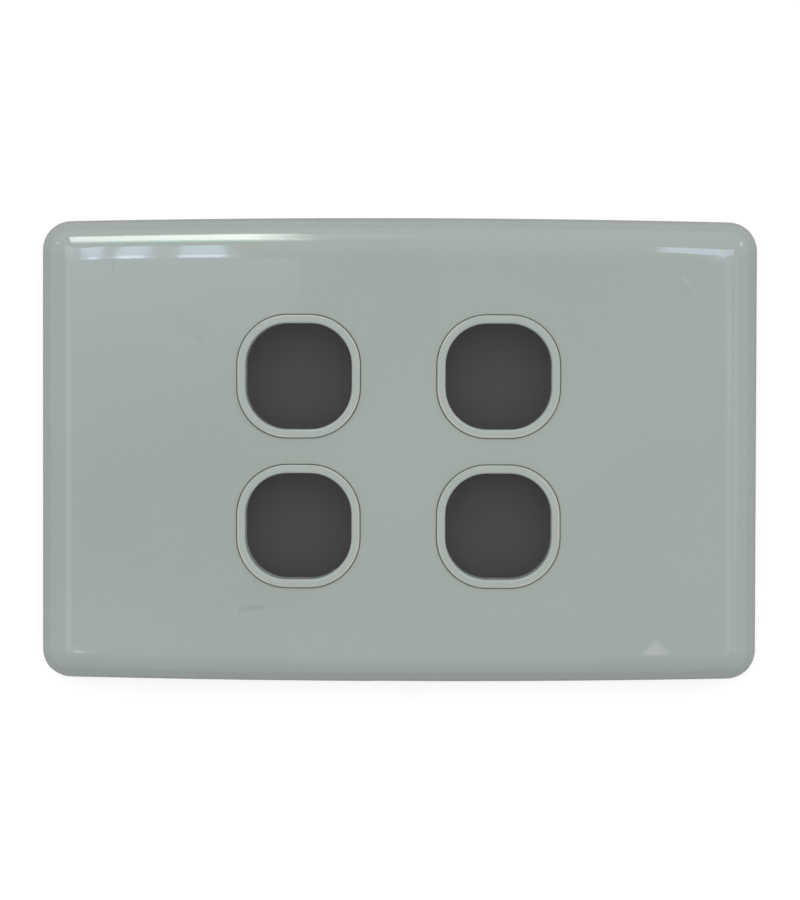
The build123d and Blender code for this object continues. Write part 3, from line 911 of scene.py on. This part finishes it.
def seamGrimeAndHighlightGroup():
    # Grime packed in the gap round each collar, and beside it a lighter, yellowish line that is partly
    # yellowed plastic and partly a painted highlight on the collar's rounded edge.
    tree, given, made = newShaderGroup("seamGrimeAndHighlight", {
        "Colour": ("NodeSocketColor", (0.35, 0.35, 0.35, 1)),
        "Grime Colour": ("NodeSocketColor", (0.2, 0.15, 0.1, 1)),
        "Yellowed Highlight Colour": ("NodeSocketColor", (0.5, 0.45, 0.36, 1)),
        "Grime": ("NodeSocketFloat", 1.0),
        "Yellowed Highlight Share": ("NodeSocketFloat", 1.0),
    }, {"Colour": "NodeSocketColor", "Mask": "NodeSocketFloat"})
    place = objectPlace(tree)
    axes = addNode(tree, "ShaderNodeSeparateXYZ", {0: place}).outputs
    reach = (cover["holeWidth"] / 2 - cover["holeCorner"]) * mm
    offsets = []
    for axis, pitch in (("X", cover["holePitchX"]), ("Z", cover["holePitchZ"])):
        fromMiddle = maths(tree, "SUBTRACT", maths(tree, "ABSOLUTE", axes[axis]), pitch / 2 * mm)
        offsets.append(maths(tree, "SUBTRACT", maths(tree, "ABSOLUTE", fromMiddle), reach))
    beyondX, beyondZ = [maths(tree, "MAXIMUM", value, 0.0) for value in offsets]
    squares = maths(tree, "MULTIPLY_ADD", beyondX, beyondX, maths(tree, "MULTIPLY", beyondZ, beyondZ))
    distance = maths(tree, "SUBTRACT", maths(tree, "SQRT", squares), cover["holeCorner"] * mm)
    uneven = noise(tree, place, seamSizes["grimeBlotch"], 3.0)
    reachLeast, reachMore = seamSizes["grimeReach"] * mm, seamSizes["grimeRagged"] * mm
    reachOut = maths(tree, "MULTIPLY_ADD", uneven, reachMore, reachLeast)
    nearness = maths(tree, "DIVIDE", maths(tree, "ABSOLUTE", distance), reachOut)
    depthNone, depthFull = (frontY + seamSizes["depthNone"]) * mm, (frontY + seamSizes["depthFull"]) * mm
    nearFront = smoothStep(tree, axes["Y"], depthNone, depthFull)
    grime = maths(tree, "MULTIPLY", smoothStep(tree, nearness, 1.0, 0.4), given["Grime"])
    grime = maths(tree, "MULTIPLY", grime, nearFront)
    fromLine = maths(tree, "ABSOLUTE", maths(tree, "ADD", distance, seamSizes["lineInside"] * mm))
    ring = smoothStep(tree, fromLine, seamSizes["lineWidth"] * mm, seamSizes["lineCore"] * mm)
    patchy = smoothStep(tree, noise(tree, place, seamSizes["lineBlotch"], 2.0), 0.38, 0.62)
    # painted highlight, partly yellowed plastic: a lighter, patchy line just inside each gap
    yellowHighlight = maths(tree, "MULTIPLY", maths(tree, "MULTIPLY", ring, patchy), given["Yellowed Highlight Share"])
    yellowHighlight = maths(tree, "MULTIPLY", yellowHighlight, nearFront)
    agedAndHighlighted = mixColours(tree, yellowHighlight, given["Colour"], given["Yellowed Highlight Colour"])
    tree.links.new(mixColours(tree, grime, agedAndHighlighted, given["Grime Colour"]), made["Colour"])
    tree.links.new(grime, made["Mask"])
    return tree


def ejectorMarksGroup():
    # Faint round marks that the mould's pins leave on the hidden side, as a height.
    tree, given, made = newShaderGroup("ejectorMarks", {
        "Pitch": ("NodeSocketFloat", 0.014),
        "Radius": ("NodeSocketFloat", 0.0014),
    }, {"Height": "NodeSocketFloat"})
    axes = addNode(tree, "ShaderNodeSeparateXYZ", {0: objectPlace(tree)}).outputs
    squares = []
    offset = maths(tree, "MULTIPLY", given["Pitch"], 0.27)  # keeps the marks off the plate's middle lines
    for axis in ("X", "Z"):
        moved = maths(tree, "ADD", axes[axis], offset)
        nearest = maths(tree, "MULTIPLY", maths(tree, "ROUND", maths(tree, "DIVIDE", moved, given["Pitch"])),
                        given["Pitch"])
        away = maths(tree, "SUBTRACT", moved, nearest)
        squares.append(maths(tree, "MULTIPLY", away, away))
    away = maths(tree, "DIVIDE", maths(tree, "SQRT", maths(tree, "ADD", *squares)), given["Radius"])
    rim = smoothStep(tree, maths(tree, "ABSOLUTE", maths(tree, "SUBTRACT", away, 1.0)), 0.16, 0.0)
    sunk = maths(tree, "MULTIPLY", smoothStep(tree, away, 0.9, 1.0), 0.6)
    normal = addNode(tree, "ShaderNodeTexCoord").outputs["Normal"]
    facing = addNode(tree, "ShaderNodeSeparateXYZ", {0: normal}).outputs["Y"]
    rearward = smoothStep(tree, facing, 0.9, 0.95)
    tree.links.new(maths(tree, "MULTIPLY", maths(tree, "ADD", rim, sunk), rearward), made["Height"])
    return tree


mouldedSkin = mouldedSkinGroup()
ejectorMarks = ejectorMarksGroup()
seamGrimeAndHighlight = seamGrimeAndHighlightGroup()


# Marks from handling, each at its own place on the front

marks = {
    "raggedBlotch": 0.7,
    "depthFull": 2.5,  # behind the flat front, down to which they show in full, then none
    "depthNone": 3.0,
    "smudges": [  # middle x and z, half length, half width, turn, and how dark
        (-23.3, -25.2, 2.4, 0.5, 4.0, 0.10),
        (-31.6, 17.6, 1.6, 0.35, -50.0, 0.05),
        (-33.4, 20.0, 4.0, 2.0, -30.0, 0.03),
        (-20.5, -22.5, 9.0, 4.5, 10.0, 0.025),
        (36.0, -8.0, 14.0, 6.0, 30.0, 0.02),
        (-36.0, -9.0, 30.0, 17.0, 0.0, 0.03),
    ],
    "scratches": [  # the same, with how light, or how dark where it is below zero
        (46.8, 26.4, 2.4, 0.36, -48.0, 0.04),
        (45.8, 27.6, 0.9, 0.30, -48.0, 0.05),
        (51.0, -25.3, 0.5, 0.16, -10.0, 0.08),
        (-45.8, 28.7, 1.9, 0.07, 84.0, -0.16),
        (-45.4, 30.6, 0.8, 0.07, 64.0, -0.13),
    ],
}


def markMask(tree, axes, mark, ragged):
    # An ellipse about its own middle and along its own direction, with a ragged edge.
    x, z, longHalf, shortHalf, turn, strength = mark
    besideX = maths(tree, "SUBTRACT", axes["X"], x * mm)
    besideZ = maths(tree, "SUBTRACT", axes["Z"], z * mm)
    alongX, alongZ = cos(radians(turn)) / (longHalf * mm), sin(radians(turn)) / (longHalf * mm)
    acrossX, acrossZ = -sin(radians(turn)) / (shortHalf * mm), cos(radians(turn)) / (shortHalf * mm)
    along = maths(tree, "MULTIPLY_ADD", besideX, alongX, maths(tree, "MULTIPLY", besideZ, alongZ))
    across = maths(tree, "MULTIPLY_ADD", besideZ, acrossZ, maths(tree, "MULTIPLY", besideX, acrossX))
    squares = maths(tree, "MULTIPLY_ADD", along, along, maths(tree, "MULTIPLY", across, across))
    inside = smoothStep(tree, maths(tree, "ADD", squares, ragged), 1.3, 0.2)
    return maths(tree, "MULTIPLY", inside, strength)


def handlingMarks(tree, colour):
    # Only the front and the start of its roll are marked.
    place = objectPlace(tree)
    axes = addNode(tree, "ShaderNodeSeparateXYZ", {0: place}).outputs
    ragged = maths(tree, "MULTIPLY_ADD", noise(tree, place, marks["raggedBlotch"], 3.0), 1.6, -0.8)
    level = 1.0
    for kind, sign in (("smudges", -1.0), ("scratches", 1.0)):
        for mark in marks[kind]:
            level = maths(tree, "MULTIPLY_ADD", markMask(tree, axes, mark, ragged), sign, level)
    depthNone, depthFull = (frontY + marks["depthNone"]) * mm, (frontY + marks["depthFull"]) * mm
    front = smoothStep(tree, axes["Y"], depthNone, depthFull)
    level = maths(tree, "MULTIPLY_ADD", maths(tree, "SUBTRACT", level, 1.0), front, 1.0)
    return addNode(tree, "ShaderNodeVectorMath", {0: colour, "Scale": level}, operation="SCALE").outputs[0]


# Finishes

coverFinish = {
    "colour": (0.315, 0.354, 0.331, 1),
    "drift": 0.05,
    "speckle": 0.05,
    "roughness": 0.022,
    "waviness": 0.1,
    "grime": (0.22, 0.215, 0.18, 1),
    "grimeShare": 0.9,
    "yellowedHighlight": (0.315, 0.354, 0.331, 1),
    "yellowedHighlightShare": 0.0,
    "pinPitch": 16.0,
    "pinRadius": 1.5,
    "pinDepth": 0.08,
}
gridFinish = {
    "colour": (0.335, 0.374, 0.35, 1),
    "drift": 0.05,
    "speckle": 0.05,
    "roughness": 0.2,
    "waviness": 0.2,
    "grime": (0.22, 0.215, 0.18, 1),
    "grimeShare": 0.9,
    # painted highlight, partly yellowed plastic: the lighter line just inside each collar's gap
    "yellowedHighlight": (0.46, 0.455, 0.405, 1),
    "yellowedHighlightShare": 0.7,
    "pinPitch": 10.5,
    "pinRadius": 1.1,
    "pinDepth": 0.08,
}
zincFinish = {
    "colour": (0.60, 0.61, 0.60, 1),
    "worn": (0.55, 0.55, 0.53, 1),
    "roughness": 0.26,
    "wornRoughness": 0.2,  # more than that, where it is worn
    "blotch": 1.4,
    "grain": 0.3,
    "grainHeight": 0.02,
}


def plasticMaterial(name, finish, marked):
    material, tree, shader = newMaterial(name)
    surface = placeGroup(tree, mouldedSkin, {
        "Colour": finish["colour"], "Drift": finish["drift"], "Speckle": finish["speckle"],
        "Roughness": finish["roughness"], "Waviness": finish["waviness"]})
    colour = handlingMarks(tree, surface["Colour"]) if marked else surface["Colour"]
    # grime in the seams, and a line that is partly painted highlight and partly yellowed plastic
    agedAndHighlighted = placeGroup(tree, seamGrimeAndHighlight, {
        "Colour": colour, "Grime Colour": finish["grime"], "Grime": finish["grimeShare"],
        "Yellowed Highlight Colour": finish["yellowedHighlight"], "Yellowed Highlight Share": finish["yellowedHighlightShare"]})
    tree.links.new(agedAndHighlighted["Colour"], shader.inputs["Base Color"])
    rough = maths(tree, "MULTIPLY_ADD", agedAndHighlighted["Mask"], 0.5, surface["Roughness"])
    tree.links.new(rough, shader.inputs["Roughness"])
    pinSizes = {"Pitch": finish["pinPitch"] * mm, "Radius": finish["pinRadius"] * mm}
    pins = placeGroup(tree, ejectorMarks, pinSizes)
    bump = addNode(tree, "ShaderNodeBump", {"Strength": 0.5, "Distance": finish["pinDepth"] * mm,
                                            "Height": pins["Height"], "Normal": surface["Normal"]})
    tree.links.new(bump.outputs[0], shader.inputs["Normal"])
    return material


def zincMaterial(name, finish):
    material, tree, shader = newMaterial(name)
    place = objectPlace(tree)
    patches = smoothStep(tree, noise(tree, place, finish["blotch"], 4.0), 0.42, 0.62)
    tree.links.new(mixColours(tree, patches, finish["colour"], finish["worn"]), shader.inputs["Base Color"])
    rough = maths(tree, "MULTIPLY_ADD", patches, finish["wornRoughness"], finish["roughness"])
    tree.links.new(rough, shader.inputs["Roughness"])
    bump = addNode(tree, "ShaderNodeBump", {"Strength": 0.1, "Distance": finish["grainHeight"] * mm,
                                            "Height": noise(tree, place, finish["grain"], 3.0)})
    tree.links.new(bump.outputs[0], shader.inputs["Normal"])
    shader.inputs["Metallic"].default_value = 1.0
    return material


coverPiece.data.materials.clear()
coverPiece.data.materials.append(plasticMaterial("coverPlastic", coverFinish, True))
coverPiece.data.polygons.foreach_set("material_index", [0] * len(coverPiece.data.polygons))
coverPiece.data.polygons.foreach_set("use_smooth", [True] * len(coverPiece.data.polygons))
coverPiece.data.set_sharp_from_angle(angle=radians(50))
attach(coverPiece, "root")
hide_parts("front_cover")

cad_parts["mounting_grid"].material_slots[0].material = plasticMaterial("gridPlastic", gridFinish, False)

zinc = zincMaterial("zincPlate", zincFinish)
screwPiece = runGeometryTree("machineScrews", buildScrewTree(), screw, zinc)
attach(screwPiece, "root")
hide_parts("fixing_screws")
print("screws have", len(screwPiece.data.polygons), "faces")

scene.view_settings.view_transform = "Standard"
